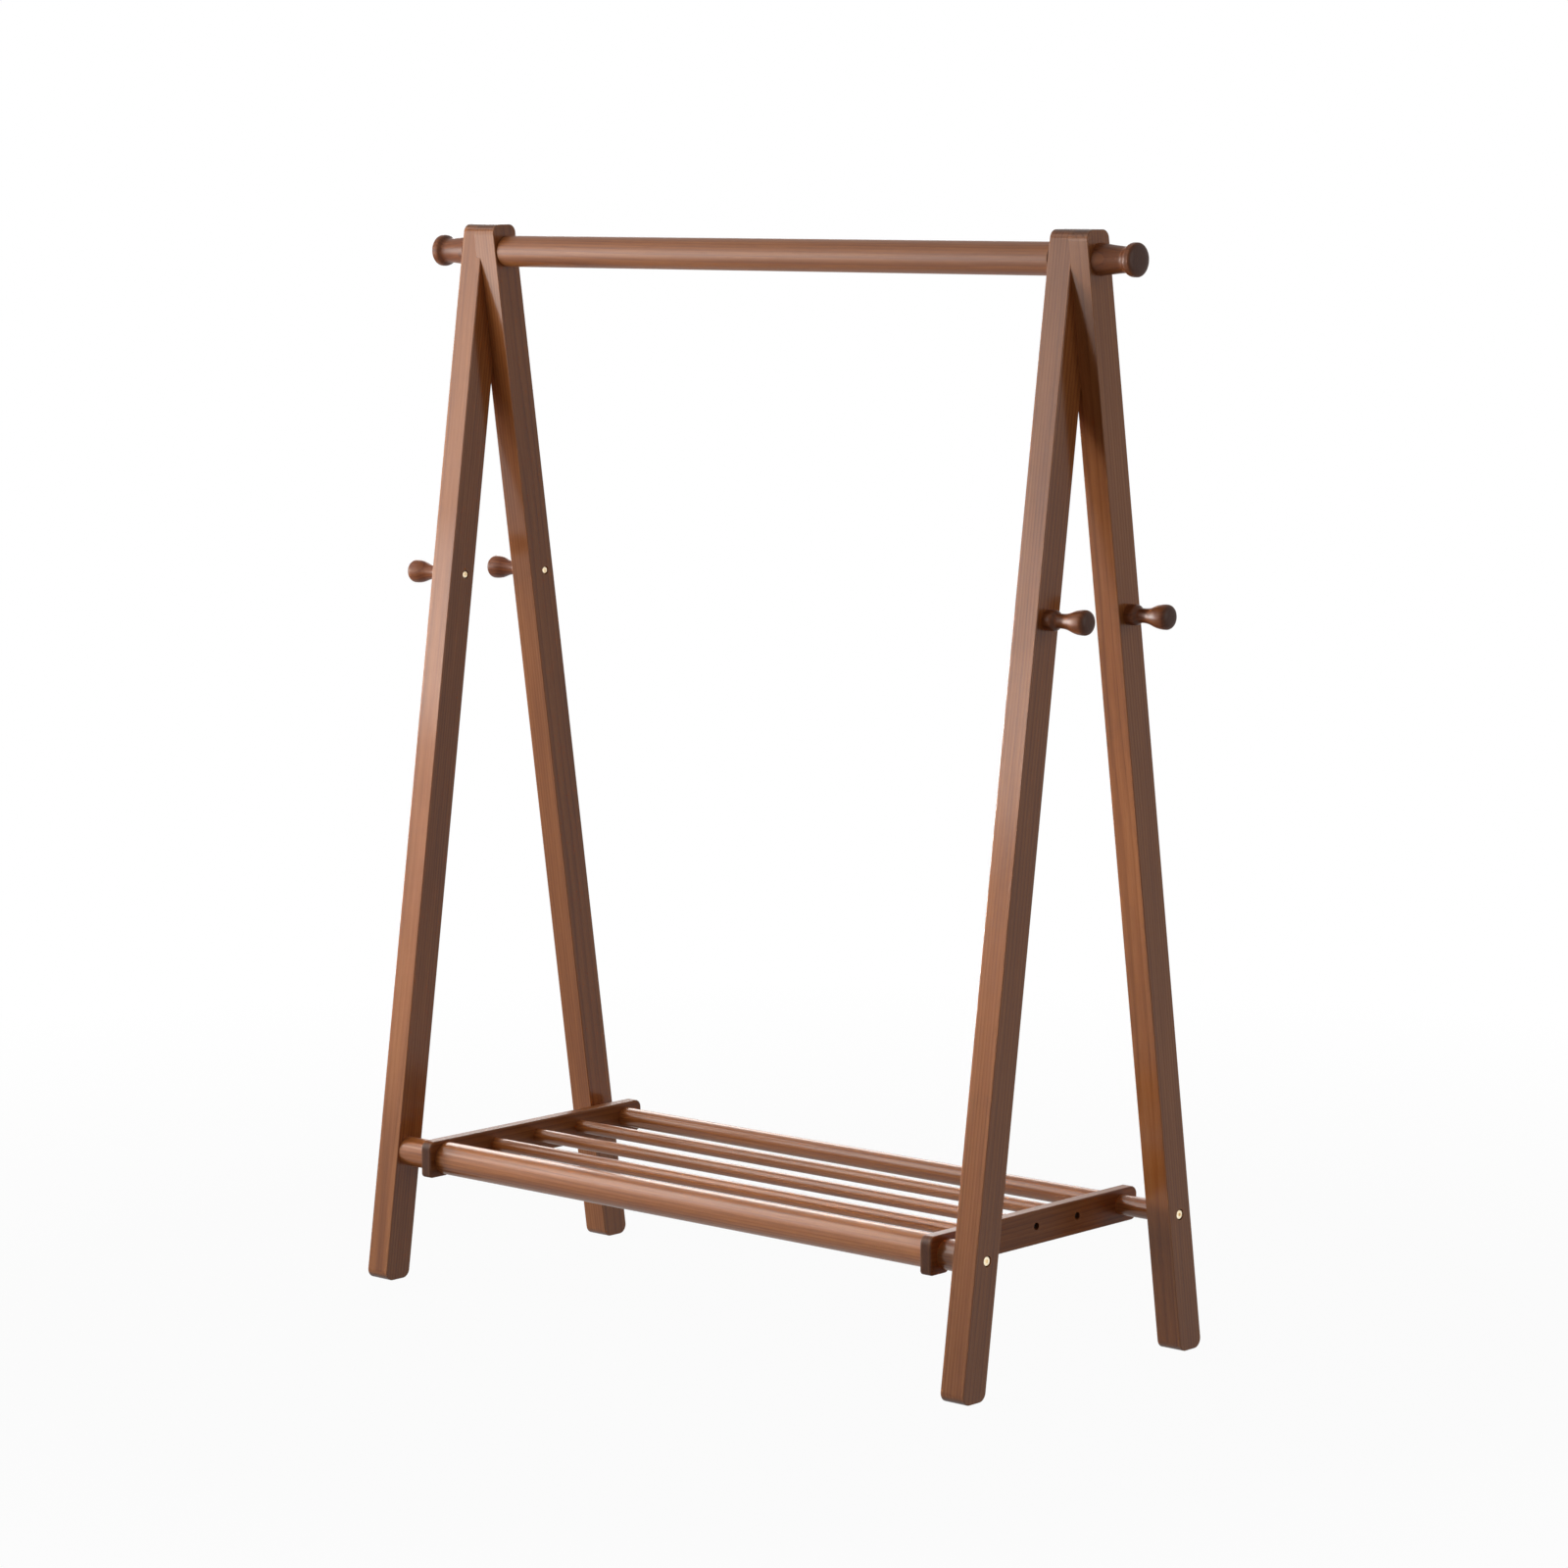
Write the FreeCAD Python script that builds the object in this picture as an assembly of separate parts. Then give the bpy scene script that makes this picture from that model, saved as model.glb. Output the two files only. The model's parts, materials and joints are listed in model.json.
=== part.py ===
import FreeCAD, Part
import math
import os

from FreeCAD import Vector

# Frame: millimetres, +X along the hanging rail, the front faces -Y, the floor is Z = 0.

# A-frames
RAIL_AXIS_HEIGHT = 1267.0
CROSSING_HEIGHT = 1259.0
FRAME_SPACING = 930.0
FOOT_SPREAD = 364.0
LEG_WIDTH = 34.0
LEG_DEPTH = 39.0
LEG_TOP_RISE = 33.0
LEG_END_RADIUS = 11.0
LEG_EDGE_RADIUS = 1.2
HOUSING_DEPTH = 7.0

# Hanging rail and its end knobs
RAIL_DIAMETER = 38.0
RAIL_END_RADIUS = 1.5
KNOB_BASE_DIAMETER = 37.0
KNOB_NECK_DIAMETER = 29.6
KNOB_CAP_DIAMETER = 38.4
KNOB_TAPER_LENGTH = 29.0
KNOB_NECK_LENGTH = 7.0
KNOB_FLARE_LENGTH = 12.0
KNOB_RIM_LENGTH = 3.0
KNOB_CROWN_HEIGHT = 4.5

# Pegs on the outer faces of the legs
PEG_HEIGHT = 869.0
LEFT_PEG_SETBACK = 5.5
PEG_BASE_DIAMETER = 24.0
PEG_NECK_DIAMETER = 16.6
PEG_KNOB_DIAMETER = 28.6
PEG_BASE_LENGTH = 8.5
PEG_NECK_LENGTH = 10.0
PEG_SWELL_LENGTH = 33.0
PEG_CROWN_HEIGHT = 7.5

# Shelf
SHELF_HEIGHT = 162.5
FRONT_RAIL_DIAMETER = 40.0
FRONT_RAIL_DROP = 3.5
FRONT_SPACER_DIAMETER = 36.0
REAR_RAIL_DIAMETER = 24.0
REAR_SPACER_DIAMETER = 24.0
SLAT_RISE = 1.5
SLAT_DIAMETER = 16.0
SLAT_COUNT = 3
SLAT_SPACING = 75.0
SLAT_SOCKET_DEPTH = 5.0
SIDE_RAIL_THICKNESS = 16.0
SIDE_RAIL_HEIGHT = 40.0
SIDE_RAIL_OVERHANG = 29.0
SIDE_RAIL_HEEL_DROP = 5.0
SIDE_RAIL_HEEL_LENGTH = 29.0
SIDE_RAIL_HEEL_RADIUS = 5.0
SIDE_RAIL_CORNER_RADIUS = 10.0
SIDE_RAIL_EDGE_RADIUS = 2.0
SHORT_SPACER_LENGTH = 24.5

# Studs that hold the hanging rail, legs and knobs together
STUD_DIAMETER = 8.0
STUD_ENGAGEMENT = 18.0
STUD_INSERT_WALL = 2.0

# Shelf bolts and their inserts
BOLT_DIAMETER = 6.0
BOLT_HEAD_DIAMETER = 11.0
BOLT_HEAD_HEIGHT = 4.0
BOLT_HEAD_RECESS = 0.8
BOLT_HEAD_ROOM = 0.9
BOLT_HEX_WIDTH = 4.0
BOLT_HEX_DEPTH = 2.2
BOLT_ENGAGEMENT = 14.0
BOLT_INSERT_WALL = 1.5

# Wood screws for the pegs and the slats
SCREW_DIAMETER = 4.0
SCREW_DRIVE_WIDTH = 1.2
SCREW_DRIVE_DEPTH = 1.4
PEG_SCREW_HEAD_DIAMETER = 8.6
PEG_SCREW_HEAD_HEIGHT = 2.6
PEG_SCREW_RECESS = 0.6
PEG_SCREW_ENGAGEMENT = 26.0
SLAT_SCREW_HEAD_DIAMETER = 7.4
SLAT_SCREW_HEAD_HEIGHT = 2.6
SLAT_SCREW_RECESS = 3.4
SLAT_SCREW_ENGAGEMENT = 28.0
SCREW_HEAD_ROOM = 0.8

# Clearances
HOLE_CLEARANCE = 0.2
THREAD_CLEARANCE = 0.05
INSERT_CLEARANCE = 0.05
BORE_END_ROOM = 1.0
INSERT_END_ROOM = 2.0

# Places worked out from the sizes above
LEAN = math.atan2(FOOT_SPREAD / 2, CROSSING_HEIGHT)
LEG_OFFSET = LEG_WIDTH - HOUSING_DEPTH
LEG_TOP = RAIL_AXIS_HEIGHT + LEG_TOP_RISE
CROSSING_INNER_X = FRAME_SPACING / 2 - LEG_OFFSET / 2 - LEG_WIDTH / 2
CROSSING_OUTER_X = FRAME_SPACING / 2 + LEG_OFFSET / 2 + LEG_WIDTH / 2
SIDE_RAIL_OUTER_X = CROSSING_INNER_X - SHORT_SPACER_LENGTH
SIDE_RAIL_INNER_X = SIDE_RAIL_OUTER_X - SIDE_RAIL_THICKNESS
FRONT_RAIL_HEIGHT = SHELF_HEIGHT - FRONT_RAIL_DROP
SLAT_HEIGHT = SHELF_HEIGHT + SLAT_RISE
STUD_INSERT_DIAMETER = STUD_DIAMETER + 2 * (THREAD_CLEARANCE + STUD_INSERT_WALL)
STUD_INSERT_LENGTH = STUD_ENGAGEMENT + INSERT_END_ROOM
BOLT_INSERT_DIAMETER = BOLT_DIAMETER + 2 * (THREAD_CLEARANCE + BOLT_INSERT_WALL)
BOLT_INSERT_LENGTH = BOLT_ENGAGEMENT + INSERT_END_ROOM

FRONT, REAR = -1, 1
LEFT, RIGHT = -1, 1
ENDS = {"front": FRONT, "rear": REAR}
SIDES = {"left": LEFT, "right": RIGHT}


def leg_y(end, height):
    """Middle of a leg in Y at a height above the floor."""
    return end * (CROSSING_HEIGHT - height) * math.tan(LEAN)


def leg_x(end, side):
    """Middle of a leg in X: the front legs stand to the left of the rear ones in both frames."""
    return side * FRAME_SPACING / 2 + end * LEG_OFFSET / 2


def peg_y(end, side):
    """Middle of a peg in Y: on its leg's middle line at the right, a little behind it at the left."""
    setback = LEFT_PEG_SETBACK if side == LEFT else 0
    return leg_y(end, PEG_HEIGHT) + setback


def outer_face(end, side):
    return leg_x(end, side) + side * LEG_WIDTH / 2


def inner_face(end, side):
    return leg_x(end, side) - side * LEG_WIDTH / 2


def round_bar(x_start, x_end, y, z, diameter):
    """Round bar along X between two stations."""
    start = Vector(min(x_start, x_end), y, z)
    return Part.makeCylinder(diameter / 2, abs(x_end - x_start), start, Vector(1, 0, 0))


def stood_on_face(solid, x, y, z, side):
    """Place a solid that was made along +X from the origin on the face at x, pointing to side."""
    if side < 0:
        solid.rotate(Vector(0, 0, 0), Vector(0, 0, 1), 180)
    solid.translate(Vector(x, y, z))
    return solid


def turned(outline):
    """Solid of revolution about X from a closed half outline of edges."""
    face = Part.Face(Part.Wire(outline))
    return face.revolve(Vector(0, 0, 0), Vector(1, 0, 0), 360)


def line(start, end):
    """Straight edge of a half outline, between two (x, radius) points."""
    return Part.LineSegment(Vector(*start, 0), Vector(*end, 0)).toShape()


def bend(*poles):
    """Smooth edge of a half outline, drawn towards its inner (x, radius) poles."""
    curve = Part.BezierCurve()
    curve.setPoles([Vector(*pole, 0) for pole in poles])
    return curve.toShape()


def eased_bend(start, end):
    """Smooth edge that leaves its start and reaches its end parallel to the axis."""
    middle = (start[0] + end[0]) / 2
    return bend(start, (middle, start[1]), (middle, end[1]), end)


def rounded_outline(x, corners):
    """Closed face in the plane at x, its (y, z, radius) corners rounded by tangent arcs."""
    count = len(corners)
    arcs = []
    for index, (y, z, radius) in enumerate(corners):
        corner = Vector(x, y, z)
        before = Vector(x, *corners[index - 1][:2]) - corner
        after = Vector(x, *corners[(index + 1) % count][:2]) - corner
        half_angle = before.getAngle(after) / 2
        before.normalize()
        after.normalize()
        bisector = (before + after).normalize()
        reach = radius / math.tan(half_angle)
        middle = corner + bisector * (radius / math.sin(half_angle) - radius)
        arcs.append(Part.Arc(corner + before * reach, middle, corner + after * reach).toShape())
    edges = []
    for index, arc in enumerate(arcs):
        following = arcs[(index + 1) % count]
        run = Part.LineSegment(arc.Vertexes[-1].Point, following.Vertexes[0].Point)
        edges.extend([arc, run.toShape()])
    return Part.Face(Part.Wire(edges))


def rounded_board(outline, direction, radius):
    """Board from an outline in a plane of constant X, with the rims of its two faces eased."""
    board = outline.extrude(direction)
    faces = [face for face in board.Faces if abs(face.normalAt(0, 0).x) > 0.9]
    rims = [edge for face in faces for edge in face.Edges]
    return board.makeFillet(radius, rims)


def leg_face_y(end, face, height):
    """Y of the front or rear face of a leg at a height above the floor."""
    return leg_y(end, height) + face * LEG_DEPTH / 2 / math.cos(LEAN)


def leg_bar(end, side):
    """Leaning leg cut level at the floor and at its top, with rounded ends and eased edges."""
    corners = [
        (leg_face_y(end, FRONT, 0), 0, LEG_END_RADIUS),
        (leg_face_y(end, REAR, 0), 0, LEG_END_RADIUS),
        (leg_face_y(end, REAR, LEG_TOP), LEG_TOP, LEG_END_RADIUS),
        (leg_face_y(end, FRONT, LEG_TOP), LEG_TOP, LEG_END_RADIUS),
    ]
    outline = rounded_outline(leg_x(end, side) - LEG_WIDTH / 2, corners)
    return rounded_board(outline, Vector(LEG_WIDTH, 0, 0), LEG_EDGE_RADIUS)


def is_outer_leg(end, side):
    """The front leg is the outer one of the left frame, the rear leg that of the right frame."""
    return end == side


def housing(end, side):
    """Room in an outer leg for the uncut inner leg of its frame, open to the top of the outer leg."""
    x = outer_face(-end, side)
    beyond = -end * 2 * FOOT_SPREAD
    above = LEG_TOP + LEG_DEPTH
    corners = [
        Vector(x, leg_face_y(-end, end, 0), 0),
        Vector(x, leg_face_y(-end, end, above), above),
        Vector(x, beyond, above),
        Vector(x, beyond, 0),
    ]
    outline = Part.Face(Part.makePolygon(corners + corners[:1]))
    return outline.extrude(Vector(-side * LEG_WIDTH, 0, 0))


def make_leg(end, side):
    leg = leg_bar(end, side)
    if is_outer_leg(end, side):
        leg = leg.cut(housing(end, side))
    inner = inner_face(end, side)
    outer = outer_face(end, side)
    stud_hole = round_bar(inner, outer, 0, RAIL_AXIS_HEIGHT, STUD_DIAMETER + 2 * HOLE_CLEARANCE)
    screw_y = peg_y(end, side)
    peg_hole = round_bar(inner, outer, screw_y, PEG_HEIGHT, SCREW_DIAMETER + 2 * HOLE_CLEARANCE)
    peg_head = round_bar(
        inner,
        inner + side * (PEG_SCREW_RECESS + PEG_SCREW_HEAD_HEIGHT),
        screw_y,
        PEG_HEIGHT,
        PEG_SCREW_HEAD_DIAMETER + 2 * SCREW_HEAD_ROOM,
    )
    bolt_z = shelf_rail_height(end)
    bolt_y = leg_y(end, bolt_z)
    bolt_hole = round_bar(inner, outer, bolt_y, bolt_z, BOLT_DIAMETER + 2 * HOLE_CLEARANCE)
    bolt_head = round_bar(
        outer,
        outer - side * (BOLT_HEAD_RECESS + BOLT_HEAD_HEIGHT),
        bolt_y,
        bolt_z,
        BOLT_HEAD_DIAMETER + 2 * BOLT_HEAD_ROOM,
    )
    return leg.cut([stud_hole, peg_hole, peg_head, bolt_hole, bolt_head])


def rounded_rod(x_start, x_end, y, z, diameter, radius):
    """Round bar with its two end rims eased."""
    rod = round_bar(x_start, x_end, y, z, diameter)
    rims = [edge for edge in rod.Edges if edge.Closed]
    return rod.makeFillet(radius, rims)


def make_hanging_rail():
    rail = rounded_rod(
        -CROSSING_INNER_X, CROSSING_INNER_X, 0, RAIL_AXIS_HEIGHT, RAIL_DIAMETER, RAIL_END_RADIUS
    )
    for side in SIDES.values():
        mouth = side * CROSSING_INNER_X
        insert_bore = round_bar(
            mouth,
            mouth - side * STUD_INSERT_LENGTH,
            0,
            RAIL_AXIS_HEIGHT,
            STUD_INSERT_DIAMETER + 2 * INSERT_CLEARANCE,
        )
        rail = rail.cut(insert_bore)
    return rail


def knob_outline():
    """Half outline of an end knob: tapered body, drawn-in neck and a nearly flat cap with a rounded rim."""
    base = KNOB_BASE_DIAMETER / 2
    neck = KNOB_NECK_DIAMETER / 2
    cap = KNOB_CAP_DIAMETER / 2
    neck_place = KNOB_TAPER_LENGTH + KNOB_NECK_LENGTH
    cap_place = neck_place + KNOB_FLARE_LENGTH
    rim_place = cap_place + KNOB_RIM_LENGTH
    tip = rim_place + KNOB_CROWN_HEIGHT
    return [
        line((0, 0), (0, base)),
        bend((0, base), (KNOB_TAPER_LENGTH, neck), (neck_place, neck)),
        eased_bend((neck_place, neck), (cap_place, cap)),
        line((cap_place, cap), (rim_place, cap)),
        bend((rim_place, cap), (tip, cap), (tip, cap / 2), (tip, 0)),
        line((tip, 0), (0, 0)),
    ]


def make_knob(side):
    face = side * CROSSING_OUTER_X
    knob = stood_on_face(turned(knob_outline()), face, 0, RAIL_AXIS_HEIGHT, side)
    insert_bore = round_bar(
        face,
        face + side * STUD_INSERT_LENGTH,
        0,
        RAIL_AXIS_HEIGHT,
        STUD_INSERT_DIAMETER + 2 * INSERT_CLEARANCE,
    )
    return knob.cut(insert_bore)


def make_rail_studs():
    studs = []
    for side in SIDES.values():
        inner = side * (CROSSING_INNER_X - STUD_ENGAGEMENT)
        outer = side * (CROSSING_OUTER_X + STUD_ENGAGEMENT)
        studs.append(round_bar(inner, outer, 0, RAIL_AXIS_HEIGHT, STUD_DIAMETER))
    return Part.makeCompound(studs)


def threaded_insert(x_start, x_end, y, z, diameter, thread):
    """Plain tube that stands for a threaded insert."""
    tube = round_bar(x_start, x_end, y, z, diameter)
    return tube.cut(round_bar(x_start, x_end, y, z, thread + 2 * THREAD_CLEARANCE))


def make_stud_inserts():
    inserts = []
    for side in SIDES.values():
        for mouth, direction in ((CROSSING_INNER_X, -side), (CROSSING_OUTER_X, side)):
            start = side * mouth
            end = start + direction * STUD_INSERT_LENGTH
            inserts.append(
                threaded_insert(start, end, 0, RAIL_AXIS_HEIGHT, STUD_INSERT_DIAMETER, STUD_DIAMETER)
            )
    return Part.makeCompound(inserts)


def peg_outline():
    """Half outline of a peg: straight base, drawn-in neck and a long swell to a nearly flat end."""
    base = PEG_BASE_DIAMETER / 2
    neck = PEG_NECK_DIAMETER / 2
    knob = PEG_KNOB_DIAMETER / 2
    neck_place = PEG_BASE_LENGTH + PEG_NECK_LENGTH
    knob_place = neck_place + PEG_SWELL_LENGTH
    tip = knob_place + PEG_CROWN_HEIGHT
    return [
        line((0, 0), (0, base)),
        line((0, base), (PEG_BASE_LENGTH, base)),
        eased_bend((PEG_BASE_LENGTH, base), (neck_place, neck)),
        eased_bend((neck_place, neck), (knob_place, knob)),
        bend((knob_place, knob), (tip, knob), (tip, knob / 2), (tip, 0)),
        line((tip, 0), (0, 0)),
    ]


def make_peg(end, side):
    face = outer_face(end, side)
    y = peg_y(end, side)
    peg = stood_on_face(turned(peg_outline()), face, y, PEG_HEIGHT, side)
    pilot_end = face + side * (PEG_SCREW_ENGAGEMENT + BORE_END_ROOM)
    pilot = round_bar(face, pilot_end, y, PEG_HEIGHT, SCREW_DIAMETER + 2 * THREAD_CLEARANCE)
    return peg.cut(pilot)


def wood_screw(shank_length, head_diameter, head_height):
    """Screw along +X with its head's seat at the origin and a crossed drive in a domed head."""
    shank = round_bar(0, shank_length, 0, 0, SCREW_DIAMETER)
    head = round_bar(-head_height, 0, 0, 0, head_diameter)
    crown = [edge for edge in head.Edges if edge.Closed and edge.CenterOfMass.x < -head_height / 2]
    screw = head.makeFillet(head_height / 2, crown).fuse(shank).removeSplitter()
    reach = 0.7 * head_diameter
    slot_corner = Vector(-head_height, -reach / 2, -SCREW_DRIVE_WIDTH / 2)
    slot = Part.makeBox(SCREW_DRIVE_DEPTH, reach, SCREW_DRIVE_WIDTH, slot_corner)
    crossing_slot = slot.copy()
    crossing_slot.rotate(Vector(0, 0, 0), Vector(1, 0, 0), 90)
    return screw.cut([slot, crossing_slot])


def make_peg_screws():
    screws = []
    for end in ENDS.values():
        for side in SIDES.values():
            seat_depth = PEG_SCREW_RECESS + PEG_SCREW_HEAD_HEIGHT
            shank = LEG_WIDTH - seat_depth + PEG_SCREW_ENGAGEMENT
            screw = wood_screw(shank, PEG_SCREW_HEAD_DIAMETER, PEG_SCREW_HEAD_HEIGHT)
            seat = inner_face(end, side) + side * seat_depth
            screws.append(stood_on_face(screw, seat, peg_y(end, side), PEG_HEIGHT, side))
    return Part.makeCompound(screws)


def shelf_rail_height(end):
    return FRONT_RAIL_HEIGHT if end == FRONT else SLAT_HEIGHT


def shelf_rail_y(end):
    return leg_y(end, shelf_rail_height(end))


def shelf_rail_diameter(end):
    return FRONT_RAIL_DIAMETER if end == FRONT else REAR_RAIL_DIAMETER


def spacer_diameter(end):
    return FRONT_SPACER_DIAMETER if end == FRONT else REAR_SPACER_DIAMETER


def make_shelf_rail(end):
    y = shelf_rail_y(end)
    z = shelf_rail_height(end)
    rail = round_bar(-SIDE_RAIL_INNER_X, SIDE_RAIL_INNER_X, y, z, shelf_rail_diameter(end))
    for side in SIDES.values():
        mouth = side * SIDE_RAIL_INNER_X
        bore_end = mouth - side * BOLT_INSERT_LENGTH
        bore = round_bar(mouth, bore_end, y, z, BOLT_INSERT_DIAMETER + 2 * INSERT_CLEARANCE)
        rail = rail.cut(bore)
    return rail


def slat_places():
    """Middle of each slat in Y, from the front one to the rear one."""
    first = -SLAT_SPACING * (SLAT_COUNT - 1) / 2
    return [first + SLAT_SPACING * index for index in range(SLAT_COUNT)]


def make_slat(y):
    reach = SIDE_RAIL_INNER_X + SLAT_SOCKET_DEPTH
    slat = round_bar(-reach, reach, y, SLAT_HEIGHT, SLAT_DIAMETER)
    for side in SIDES.values():
        mouth = side * reach
        pilot_end = mouth - side * (SLAT_SCREW_ENGAGEMENT + BORE_END_ROOM)
        pilot = round_bar(mouth, pilot_end, y, SLAT_HEIGHT, SCREW_DIAMETER + 2 * THREAD_CLEARANCE)
        slat = slat.cut(pilot)
    return slat


def slat_screw_seat():
    """Depth of a slat screw's seat below the outer face of its side rail."""
    return SLAT_SCREW_RECESS + SLAT_SCREW_HEAD_HEIGHT


def side_rail_board(side):
    """Board from front to rear with a low heel under its front end and eased edges."""
    y_front = shelf_rail_y(FRONT) - SIDE_RAIL_OVERHANG
    y_rear = shelf_rail_y(REAR) + SIDE_RAIL_OVERHANG
    y_heel = y_front + SIDE_RAIL_HEEL_LENGTH
    z_high = SHELF_HEIGHT + SIDE_RAIL_HEIGHT / 2
    z_low = SHELF_HEIGHT - SIDE_RAIL_HEIGHT / 2
    z_heel = z_low - SIDE_RAIL_HEEL_DROP
    outline = rounded_outline(
        side * SIDE_RAIL_INNER_X,
        [
            (y_front, z_high, SIDE_RAIL_CORNER_RADIUS),
            (y_rear, z_high, SIDE_RAIL_CORNER_RADIUS),
            (y_rear, z_low, SIDE_RAIL_CORNER_RADIUS),
            (y_heel + SIDE_RAIL_HEEL_DROP, z_low, SIDE_RAIL_HEEL_RADIUS),
            (y_heel, z_heel, SIDE_RAIL_HEEL_RADIUS),
            (y_front, z_heel, SIDE_RAIL_HEEL_RADIUS),
        ],
    )
    return rounded_board(outline, Vector(side * SIDE_RAIL_THICKNESS, 0, 0), SIDE_RAIL_EDGE_RADIUS)


def make_side_rail(side):
    inner = side * SIDE_RAIL_INNER_X
    outer = side * SIDE_RAIL_OUTER_X
    holes = []
    for end in ENDS.values():
        place = (shelf_rail_y(end), shelf_rail_height(end))
        holes.append(round_bar(inner, outer, *place, BOLT_DIAMETER + 2 * HOLE_CLEARANCE))
    for y in slat_places():
        socket_end = inner + side * SLAT_SOCKET_DEPTH
        socket = SLAT_DIAMETER + 2 * THREAD_CLEARANCE
        holes.append(round_bar(inner, socket_end, y, SLAT_HEIGHT, socket))
        holes.append(round_bar(inner, outer, y, SLAT_HEIGHT, SCREW_DIAMETER + 2 * HOLE_CLEARANCE))
        seat = outer - side * slat_screw_seat()
        head_room = SLAT_SCREW_HEAD_DIAMETER + 2 * SCREW_HEAD_ROOM
        holes.append(round_bar(outer, seat, y, SLAT_HEIGHT, head_room))
    return side_rail_board(side).cut(holes)


def make_slat_screws():
    screws = []
    for side in SIDES.values():
        for y in slat_places():
            web = SIDE_RAIL_THICKNESS - SLAT_SOCKET_DEPTH - slat_screw_seat()
            shank = web + SLAT_SCREW_ENGAGEMENT
            screw = wood_screw(shank, SLAT_SCREW_HEAD_DIAMETER, SLAT_SCREW_HEAD_HEIGHT)
            seat = side * (SIDE_RAIL_OUTER_X - slat_screw_seat())
            screws.append(stood_on_face(screw, seat, y, SLAT_HEIGHT, -side))
    return Part.makeCompound(screws)


def make_spacer(end, side):
    y = shelf_rail_y(end)
    z = shelf_rail_height(end)
    start = side * SIDE_RAIL_OUTER_X
    stop = inner_face(end, side)
    spacer = round_bar(start, stop, y, z, spacer_diameter(end))
    return spacer.cut(round_bar(start, stop, y, z, BOLT_DIAMETER + 2 * HOLE_CLEARANCE))


def hexagon_prism(width, depth):
    """Hexagonal prism along +X from the origin, by its width across flats."""
    corner_radius = width / math.sqrt(3)
    corners = []
    for index in range(7):
        angle = math.radians(60 * index)
        corners.append(Vector(0, corner_radius * math.cos(angle), corner_radius * math.sin(angle)))
    return Part.Face(Part.makePolygon(corners)).extrude(Vector(depth, 0, 0))


def shelf_bolt(shank_length):
    """Bolt along +X with its head's seat at the origin and a hexagonal socket in the head."""
    shank = round_bar(0, shank_length, 0, 0, BOLT_DIAMETER)
    head = round_bar(-BOLT_HEAD_HEIGHT, 0, 0, 0, BOLT_HEAD_DIAMETER)
    crown = [edge for edge in head.Edges if edge.Closed and edge.CenterOfMass.x < -BOLT_HEAD_HEIGHT / 2]
    bolt = head.makeFillet(BOLT_HEAD_HEIGHT / 4, crown).fuse(shank).removeSplitter()
    socket = hexagon_prism(BOLT_HEX_WIDTH, BOLT_HEX_DEPTH)
    socket.translate(Vector(-BOLT_HEAD_HEIGHT, 0, 0))
    return bolt.cut(socket)


def make_shelf_bolts():
    bolts = []
    for end in ENDS.values():
        for side in SIDES.values():
            seat = outer_face(end, side) - side * (BOLT_HEAD_RECESS + BOLT_HEAD_HEIGHT)
            tip = side * (SIDE_RAIL_INNER_X - BOLT_ENGAGEMENT)
            bolt = shelf_bolt(abs(seat - tip))
            bolts.append(stood_on_face(bolt, seat, shelf_rail_y(end), shelf_rail_height(end), -side))
    return Part.makeCompound(bolts)


def make_bolt_inserts():
    inserts = []
    for end in ENDS.values():
        for side in SIDES.values():
            start = side * SIDE_RAIL_INNER_X
            stop = start - side * BOLT_INSERT_LENGTH
            place = (shelf_rail_y(end), shelf_rail_height(end))
            inserts.append(
                threaded_insert(start, stop, *place, BOLT_INSERT_DIAMETER, BOLT_DIAMETER)
            )
    return Part.makeCompound(inserts)


def make_parts():
    parts = {
        "hanging_rail": make_hanging_rail(),
        "rail_studs": make_rail_studs(),
        "rail_stud_inserts": make_stud_inserts(),
        "peg_screws": make_peg_screws(),
        "slat_screws": make_slat_screws(),
        "shelf_bolts": make_shelf_bolts(),
        "shelf_bolt_inserts": make_bolt_inserts(),
    }
    for side_name, side in SIDES.items():
        parts[f"{side_name}_rail_knob"] = make_knob(side)
        parts[f"{side_name}_side_rail"] = make_side_rail(side)
    for end_name, end in ENDS.items():
        parts[f"{end_name}_shelf_rail"] = make_shelf_rail(end)
        for side_name, side in SIDES.items():
            parts[f"{end_name}_{side_name}_leg"] = make_leg(end, side)
            parts[f"{end_name}_{side_name}_peg"] = make_peg(end, side)
            parts[f"{end_name}_{side_name}_spacer"] = make_spacer(end, side)
    for number, y in enumerate(slat_places(), start=1):
        parts[f"shelf_slat_{number}"] = make_slat(y)
    return parts


os.makedirs("parts", exist_ok=True)
for node, shape in make_parts().items():
    shape.exportStep(os.path.join("parts", node + ".step"))
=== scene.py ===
import json
import math

import bmesh
import bpy
from mathutils import Euler, Matrix, Vector


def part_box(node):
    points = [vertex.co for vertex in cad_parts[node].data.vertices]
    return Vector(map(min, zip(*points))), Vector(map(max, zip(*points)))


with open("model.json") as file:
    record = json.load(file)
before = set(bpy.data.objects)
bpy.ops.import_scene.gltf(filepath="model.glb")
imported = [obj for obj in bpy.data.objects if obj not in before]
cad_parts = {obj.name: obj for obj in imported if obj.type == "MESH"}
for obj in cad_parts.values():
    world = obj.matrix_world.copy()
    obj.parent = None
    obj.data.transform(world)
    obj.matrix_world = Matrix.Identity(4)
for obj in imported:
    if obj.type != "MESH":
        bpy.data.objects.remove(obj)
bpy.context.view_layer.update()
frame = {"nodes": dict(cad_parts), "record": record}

# Metres. +X runs along the hanging rail, the front faces -Y and the floor is Z = 0.

# Camera at the photograph's viewing angle
CAMERA_PLACE = Vector((3.8399, -4.2460, 1.3687))
CAMERA_AZIMUTH = math.radians(41.958)
CAMERA_PITCH = math.radians(7.2446)
CAMERA_ROLL = math.radians(-0.1331)
CAMERA_LENS = 111.358
SENSOR_WIDTH = 36.0

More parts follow.
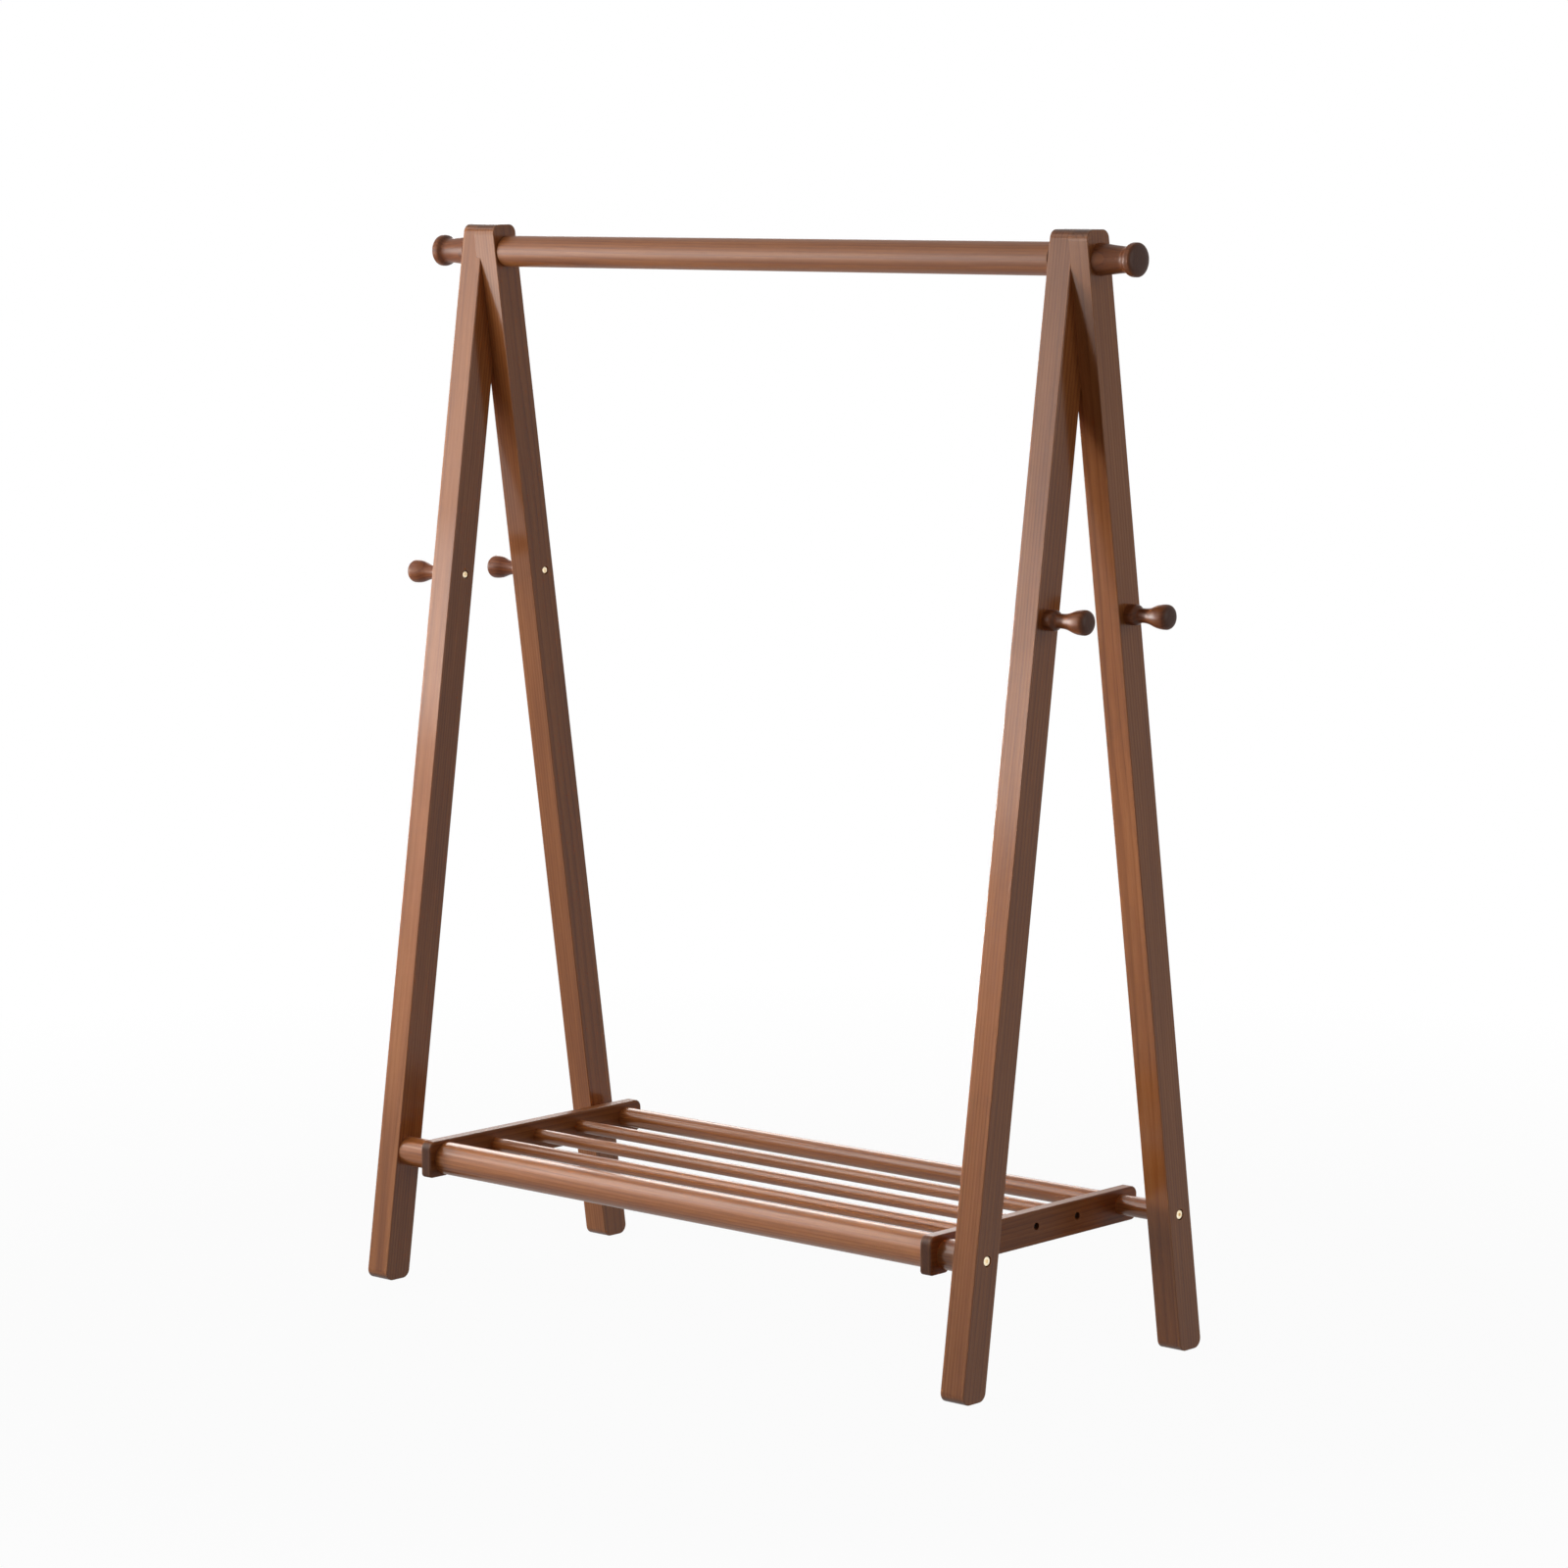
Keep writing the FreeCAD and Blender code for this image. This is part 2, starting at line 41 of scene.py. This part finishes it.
# Studio
FLOOR_RADIUS = 40.0
FLOOR_SEGMENTS = 96
FLOOR_COLOUR = (0.18, 0.176, 0.172, 1.0)
FLOOR_GLOW_NEAR = 0.96
GLOW_NEAR_REACH = 0.9
GLOW_FULL_REACH = 2.4
WHITE = (1.0, 1.0, 1.0, 1.0)
AMBIENT_COLOUR = (1.0, 0.97, 0.90, 1.0)
AMBIENT_LEVEL = 0.13
LAMP_COLOUR = (1.0, 0.985, 0.96)
FULL_SPREAD = 180.0

# Key light: two columns side by side, each of three strips
KEY_CENTRE = Vector((-1.02, -1.12, 0.0))
KEY_WAY = Vector((0.669, 0.743, 0.0))
KEY_ACROSS = Vector((KEY_WAY.y, -KEY_WAY.x, 0.0))
KEY_COLUMN_WIDTH = 0.6
FOOT_STRIP_SHARE = 0.1

# Each column's distance from the key's middle, and the brightness of its low and high strips
KEY_COLUMNS = ((-0.3, 4.1, 2.4), (0.3, 2.4, 2.05))

# Fill lamps: name, place, target, width, height, brightness, spread of the beam in degrees
FILL_LAMPS = (
    ("left_fill", (-6.5, -2.6, 1.2), (0.0, 0.0, 0.6), 2.0, 2.4, 14.5, FULL_SPREAD),
    ("right_frame_fill", (-2.6, -1.2, 0.7), (0.6, -0.16, 0.6), 0.4, 0.6, 2.6, 22.0),
    ("right_fill", (2.2, -1.5, 1.7), (0.3, 0.0, 0.9), 1.5, 1.5, 0.5, FULL_SPREAD),
    ("right_rear_fill", (6.0, 1.4, 1.6), (0.0, 0.1, 0.7), 2.0, 2.4, 2.5, FULL_SPREAD),
    ("top_fill", (-1.2, -1.5, 2.7), (0.0, 0.0, 0.6), 1.2, 1.0, 1.0, FULL_SPREAD),
    ("shelf_front_fill", (-1.2, -2.2, 1.1), (0.0, -0.1, 0.16), 1.2, 0.5, 1.2, FULL_SPREAD),
    ("shelf_rear_fill", (-1.9, 1.6, 1.4), (0.0, 0.0, 0.16), 1.6, 0.8, 6.5, FULL_SPREAD),
    ("shelf_left_fill", (-1.77, -0.83, 2.1), (0.0, -0.13, 0.16), 1.0, 0.8, 0.12, 36.0),
)

# Wood, sizes and strengths of its figure
LEG_LEAN = math.radians(8.22)
PITH_DISTANCE = 0.075
GOLDEN_ANGLE = math.radians(137.508)
GRAIN_SHIFT = 0.73
RING_SPACING = 0.0042
RING_WANDER = 2.6
PORE_DEPTH = 0.0004
PORE_TINT = 0.45
RELIEF_STRENGTH = 0.25
END_GRAIN_SHADE = 0.35
END_GRAIN_SHARE = 0.85
WORN_EDGE_WIDTH = 0.006
WORN_EDGE_SHARE = 0.35
MEAN_UNEVENNESS = 0.14
LACQUER_SHARE = 0.28

# Repeats of the wood's figure to the metre, along the grain and twice across it
RING_GRAIN = (1.4, 11.0, 11.0)
STREAK_GRAIN = (4.0, 150.0, 150.0)
FIBRE_GRAIN = (18.0, 800.0, 800.0)
CLOUD_GRAIN = (2.5, 10.0, 10.0)
PORE_GRAIN = (55.0, 2200.0, 2200.0)

# Dark, middle and light tones of the stained wood in each slot
WOOD_TONES = {
    "leg_wood": ((0.178, 0.050, 0.012), (0.290, 0.094, 0.023), (0.385, 0.140, 0.040)),
    "rail_wood": ((0.220, 0.062, 0.015), (0.360, 0.118, 0.030), (0.475, 0.175, 0.050)),
    "slat_wood": ((0.215, 0.060, 0.015), (0.350, 0.114, 0.028), (0.460, 0.168, 0.048)),
    "side_rail_wood": ((0.120, 0.032, 0.008), (0.205, 0.062, 0.015), (0.290, 0.102, 0.028)),
    "turned_wood": ((0.100, 0.024, 0.006), (0.185, 0.052, 0.013), (0.265, 0.086, 0.024)),
}
HANGING_RAIL_TONES = ((0.178, 0.050, 0.012), (0.290, 0.095, 0.024), (0.385, 0.142, 0.041))

# Gloss and roughness of the bare wood, roughness and index of its lacquer in each slot
WOOD_SHEEN = {
    "leg_wood": (0.05, 0.40, 0.17, 1.90),
    "rail_wood": (0.10, 0.42, 0.20, 2.10),
    "slat_wood": (0.10, 0.42, 0.22, 2.10),
    "side_rail_wood": (0.05, 0.42, 0.30, 1.60),
    "turned_wood": (0.05, 0.42, 0.38, 1.65),
}
HANGING_RAIL_SHEEN = (0.2, 0.55, 0.40, 1.90)

# Metal: dull and bright tones, greatest and least roughness, and the depth of fine lines
TARNISHED_BRASS = (0.86, 0.70, 0.46)
CLEAN_BRASS = (0.98, 0.88, 0.68)
DARK_STEEL = ((0.012, 0.011, 0.010), (0.05, 0.046, 0.042), 0.6, 0.4)
BRIGHT_STEEL = ((0.45, 0.46, 0.48), (0.66, 0.67, 0.69), 0.42, 0.26)
FINE_LINE_DEPTH = 0.0001

SLOT_OF_NODE = {part["node"]: part["material_slot"] for part in frame["record"]["subparts"]}


class Shader:
    """The node tree of a material or world, with short calls that add nodes and link them."""

    def __init__(self, owner):
        owner.use_nodes = True
        self.tree = owner.node_tree
        self.tree.nodes.clear()

    def feed(self, socket, value):
        if isinstance(value, bpy.types.NodeSocket):
            self.tree.links.new(value, socket)
        else:
            socket.default_value = value

    def add(self, kind, inputs=None, **settings):
        node = self.tree.nodes.new("ShaderNode" + kind)
        for name, value in settings.items():
            setattr(node, name, value)
        for key, value in (inputs or {}).items():
            self.feed(node.inputs[key], value)
        return node

    def math(self, operation, *values):
        return self.add("Math", dict(enumerate(values)), operation=operation).outputs[0]

    def vector(self, operation, *values):
        return self.add("VectorMath", dict(enumerate(values)), operation=operation)

    def noise(self, place, factors, detail=2.0, roughness=0.5):
        stretched = self.vector("MULTIPLY", place, factors).outputs[0]
        settings = {"Vector": stretched, "Scale": 1.0, "Detail": detail, "Roughness": roughness}
        return self.add("TexNoise", settings).outputs[0]

    def spread(self, value, low, high, to_low=0.0, to_high=1.0):
        settings = {0: value, 1: low, 2: high, 3: to_low, 4: to_high}
        return self.add("MapRange", settings).outputs[0]

    def ramp(self, value, stops):
        node = self.add("ValToRGB", {0: value})
        elements = node.color_ramp.elements
        while len(elements) < len(stops):
            elements.new(0.5)
        for element, (position, colour) in zip(elements, stops):
            element.position = position
            element.color = (*colour, 1.0)
        return node.outputs[0]

    def mixed(self, factor, first, second):
        settings = {"Factor": factor, 6: first, 7: second}
        return self.add("Mix", settings, data_type="RGBA").outputs[2]

    def weighted(self, *terms):
        total = None
        for value, weight in terms:
            part = self.math("MULTIPLY", value, weight)
            total = part if total is None else self.math("ADD", total, part)
        return total

    def surface(self, shader_socket, kind="Material"):
        output = self.add("Output" + kind)
        self.tree.links.new(shader_socket, output.inputs["Surface"])


def grey(level):
    return (level, level, level)


def ring_shade(shader, place):
    """Growth rings about a pith line that runs along X."""
    wander = shader.noise(place, RING_GRAIN)
    flat = shader.vector("MULTIPLY", place, (0.0, 1.0, 1.0)).outputs[0]
    distance = shader.vector("LENGTH", flat).outputs["Value"]
    count = shader.math("DIVIDE", distance, RING_SPACING)
    count = shader.math("ADD", count, shader.math("MULTIPLY", wander, RING_WANDER))
    profile = (
        (0.0, grey(0.85)),
        (0.25, grey(1.0)),
        (0.7, grey(0.55)),
        (0.92, grey(0.0)),
        (1.0, grey(0.85)),
    )
    return shader.ramp(shader.math("FRACT", count), profile)


def end_grain(shader, turn):
    """0 on faces along the grain, 1 on faces cut across it; turn brings the grain onto X."""
    along = turn.transposed() @ Vector((1.0, 0.0, 0.0))
    normal = shader.add("NewGeometry").outputs["True Normal"]
    facing = shader.math("ABSOLUTE", shader.vector("DOT_PRODUCT", normal, along).outputs["Value"])
    return shader.spread(facing, 0.35, 0.9)


def wood_material(name, tones, sheen, rotation, centre, number):
    """Stained hardwood under satin lacquer; rotation turns the grain of the piece onto X."""
    material = bpy.data.materials.new(name)
    shader = Shader(material)
    turn = Euler(rotation).to_matrix()
    angle = GOLDEN_ANGLE * number
    pith = Vector((GRAIN_SHIFT * number, PITH_DISTANCE * math.cos(angle), PITH_DISTANCE * math.sin(angle)))
    position = shader.add("TexCoord").outputs["Object"]
    shift = pith - turn @ centre
    place = shader.add("Mapping", {"Vector": position, "Location": shift, "Rotation": rotation}).outputs[0]

    rings = ring_shade(shader, place)
    streaks = shader.noise(place, STREAK_GRAIN, detail=4.0, roughness=0.6)
    fibres = shader.noise(place, FIBRE_GRAIN, detail=3.0, roughness=0.6)
    clouds = shader.noise(place, CLOUD_GRAIN)
    pores = shader.spread(shader.noise(place, PORE_GRAIN, detail=1.0), 0.60, 0.70)
    figure = shader.weighted((rings, 0.16), (streaks, 0.40), (fibres, 0.26), (clouds, 0.34))
    tone = shader.spread(figure, 0.42, 0.80)
    dark, middle, light = tones
    stain = shader.ramp(tone, ((0.0, dark), (0.5, middle), (1.0, light)))
    pore_tint = shader.math("MULTIPLY", pores, PORE_TINT)
    colour = shader.mixed(pore_tint, stain, (*dark, 1.0))
    soaked = shader.math("MULTIPLY", end_grain(shader, turn), END_GRAIN_SHARE)
    soaked_tone = END_GRAIN_SHADE * Vector(dark)
    colour = shader.mixed(soaked, colour, (*soaked_tone, 1.0))

    reach = {"Distance": WORN_EDGE_WIDTH}
    edges = shader.add("AmbientOcclusion", reach, inside=True, samples=6, only_local=True)
    rubbed = shader.spread(edges.outputs["AO"], 0.92, 0.55, 0.0, WORN_EDGE_SHARE)
    colour = shader.mixed(rubbed, colour, (*light, 1.0))

    wood_gloss, wood_roughness, lacquer_roughness, lacquer_index = sheen
    unevenness = shader.weighted((fibres, 0.16), (pores, 0.10), (clouds, 0.12))
    roughness = shader.math("ADD", unevenness, wood_roughness - MEAN_UNEVENNESS)
    relief = shader.weighted((fibres, 0.5), (streaks, 0.3), (pores, -0.8))
    bump = shader.add("Bump", {"Strength": RELIEF_STRENGTH, "Distance": PORE_DEPTH, "Height": relief})
    finish = {
        "Base Color": colour,
        "Roughness": roughness,
        "IOR": 1.5,
        "Specular IOR Level": wood_gloss,
        "Coat Weight": LACQUER_SHARE,
        "Coat IOR": lacquer_index,
        "Coat Roughness": lacquer_roughness,
        "Normal": bump.outputs[0],
    }
    shader.surface(shader.add("BsdfPrincipled", finish).outputs[0])
    return material


def brass_material():
    """Satin brass with fine lines and a little tarnish."""
    material = bpy.data.materials.new("brass")
    shader = Shader(material)
    place = shader.add("TexCoord").outputs["Object"]
    tarnish = shader.noise(place, (220.0, 220.0, 220.0), detail=4.0)
    scratches = shader.noise(place, (300.0, 3000.0, 3000.0), detail=2.0)
    colour = shader.ramp(tarnish, ((0.35, TARNISHED_BRASS), (0.6, CLEAN_BRASS)))
    wear = shader.weighted((tarnish, 0.6), (scratches, 0.4))
    roughness = shader.spread(wear, 0.3, 0.7, 0.52, 0.38)
    bump = shader.add("Bump", {"Strength": 0.15, "Distance": FINE_LINE_DEPTH, "Height": scratches})
    finish = {"Base Color": colour, "Roughness": roughness, "Metallic": 1.0, "Normal": bump.outputs[0]}
    shader.surface(shader.add("BsdfPrincipled", finish).outputs[0])
    return material


def steel_material(name, dull, bright, roughest, smoothest):
    """Plated or blackened steel with a mottled, lightly brushed face."""
    material = bpy.data.materials.new(name)
    shader = Shader(material)
    place = shader.add("TexCoord").outputs["Object"]
    mottle = shader.noise(place, (350.0, 350.0, 350.0), detail=5.0, roughness=0.65)
    brushing = shader.noise(place, (150.0, 2500.0, 2500.0), detail=2.0)
    colour = shader.ramp(mottle, ((0.3, dull), (0.7, bright)))
    wear = shader.weighted((mottle, 0.5), (brushing, 0.5))
    roughness = shader.spread(wear, 0.3, 0.7, roughest, smoothest)
    bump = shader.add("Bump", {"Strength": 0.2, "Distance": FINE_LINE_DEPTH, "Height": brushing})
    finish = {"Base Color": colour, "Roughness": roughness, "Metallic": 1.0, "Normal": bump.outputs[0]}
    shader.surface(shader.add("BsdfPrincipled", finish).outputs[0])
    return material


def grain_rotation(node):
    """The turn that brings the grain onto X: it runs up the legs, along the side rails, else along X."""
    if node.endswith("_leg"):
        lean = LEG_LEAN if node.startswith("front") else -LEG_LEAN
        return (lean, math.radians(90.0), 0.0)
    if node.endswith("_side_rail"):
        return (0.0, 0.0, math.radians(-90.0))
    return (0.0, 0.0, 0.0)


def dress_node(node, material):
    for slot in frame["nodes"][node].material_slots:
        slot.material = material


def dress_wood():
    wooden = sorted(node for node, slot in SLOT_OF_NODE.items() if slot in WOOD_TONES)
    for number, node in enumerate(wooden):
        low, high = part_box(node)
        centre = (low + high) / 2
        tones = WOOD_TONES[SLOT_OF_NODE[node]]
        sheen = WOOD_SHEEN[SLOT_OF_NODE[node]]
        if node == "hanging_rail":
            tones = HANGING_RAIL_TONES
            sheen = HANGING_RAIL_SHEEN
        elif node.endswith("_spacer"):
            tones = WOOD_TONES["rail_wood"]
            sheen = WOOD_SHEEN["rail_wood"]
        material = wood_material(f"wood_{node}", tones, sheen, grain_rotation(node), centre, number)
        dress_node(node, material)


def dress_metal():
    metals = {
        "brass": brass_material(),
        "dark_steel": steel_material("dark_steel", *DARK_STEEL),
        "bright_steel": steel_material("bright_steel", *BRIGHT_STEEL),
    }
    for node, slot in SLOT_OF_NODE.items():
        if slot in metals:
            dress_node(node, metals[slot])


def seen_share(shader):
    """1 for rays from the camera, through glass or off a glossy surface, 0 for the rest."""
    path = shader.add("LightPath").outputs
    straight = shader.math("MAXIMUM", path["Is Camera Ray"], path["Is Transmission Ray"])
    return shader.math("MAXIMUM", straight, path["Is Glossy Ray"])


def floor_material():
    """Matt floor that reads white in the picture and in reflections, a little less so near the object."""
    material = bpy.data.materials.new("pale_floor")
    shader = Shader(material)
    place = shader.add("TexCoord").outputs["Object"]
    distance = shader.vector("LENGTH", place).outputs["Value"]
    glow = shader.spread(distance, GLOW_NEAR_REACH, GLOW_FULL_REACH, FLOOR_GLOW_NEAR, 1.0)
    share = shader.math("MULTIPLY", glow, seen_share(shader))
    matt = shader.add("BsdfDiffuse", {"Color": FLOOR_COLOUR}).outputs[0]
    white = shader.add("Emission", {"Color": WHITE, "Strength": 1.0}).outputs[0]
    shader.surface(shader.add("MixShader", {0: share, 1: matt, 2: white}).outputs[0])
    return material


def make_floor():
    mesh = bpy.data.meshes.new("floor")
    disc = bmesh.new()
    bmesh.ops.create_circle(disc, cap_ends=True, segments=FLOOR_SEGMENTS, radius=FLOOR_RADIUS)
    disc.to_mesh(mesh)
    disc.free()
    mesh.materials.append(floor_material())
    floor = bpy.data.objects.new("floor", mesh)
    bpy.context.scene.collection.objects.link(floor)


def make_world():
    world = bpy.data.worlds.new("studio")
    bpy.context.scene.world = world
    shader = Shader(world)
    ambient = shader.add("Background", {"Color": AMBIENT_COLOUR, "Strength": AMBIENT_LEVEL}).outputs[0]
    white = shader.add("Background", {"Color": WHITE, "Strength": 1.0}).outputs[0]
    blend = shader.add("MixShader", {0: seen_share(shader), 1: ambient, 2: white})
    shader.surface(blend.outputs[0], "World")


def softbox(name, place, target, width, height, brightness, spread):
    """A rectangular lamp that faces the target; brightness is for each unit of its area."""
    light = bpy.data.lights.new(name, "AREA")
    light.shape = "RECTANGLE"
    light.size = width
    light.size_y = height
    light.energy = 4.0 * width * height * brightness
    light.spread = math.radians(spread)
    light.color = LAMP_COLOUR
    lamp = bpy.data.objects.new(name, light)
    lamp.location = place
    lamp.rotation_euler = (Vector(target) - Vector(place)).to_track_quat("-Z", "Y").to_euler()
    lamp.visible_camera = False
    bpy.context.scene.collection.objects.link(lamp)


def make_key(lateral, brightness_low, brightness_high):
    """One column of the key light, to the left of the camera's view, lateral metres from its middle."""
    strips = (
        ("foot", 0.66, 0.24, FOOT_STRIP_SHARE * brightness_low),
        ("low", 0.93, 0.30, brightness_low),
        ("high", 1.43, 0.64, brightness_high),
    )
    for level, height, tall, brightness in strips:
        place = KEY_CENTRE + Vector((0.0, 0.0, height)) + lateral * KEY_ACROSS
        softbox(f"key_{level}", place, place + KEY_WAY, KEY_COLUMN_WIDTH, tall, brightness, FULL_SPREAD)


def make_lights():
    for column in KEY_COLUMNS:
        make_key(*column)
    for lamp in FILL_LAMPS:
        softbox(*lamp)


def make_camera():
    data = bpy.data.cameras.new("camera")
    data.sensor_width = SENSOR_WIDTH
    data.lens = CAMERA_LENS
    camera = bpy.data.objects.new("camera", data)
    turn = (
        Matrix.Rotation(CAMERA_AZIMUTH, 3, "Z")
        @ Matrix.Rotation(math.radians(90.0) - CAMERA_PITCH, 3, "X")
        @ Matrix.Rotation(CAMERA_ROLL, 3, "Z")
    )
    camera.matrix_world = Matrix.Translation(CAMERA_PLACE) @ turn.to_4x4()
    bpy.context.scene.collection.objects.link(camera)
    bpy.context.scene.camera = camera


bpy.context.scene.view_settings.view_transform = "Standard"
dress_wood()
dress_metal()
make_floor()
make_world()
make_lights()
make_camera()
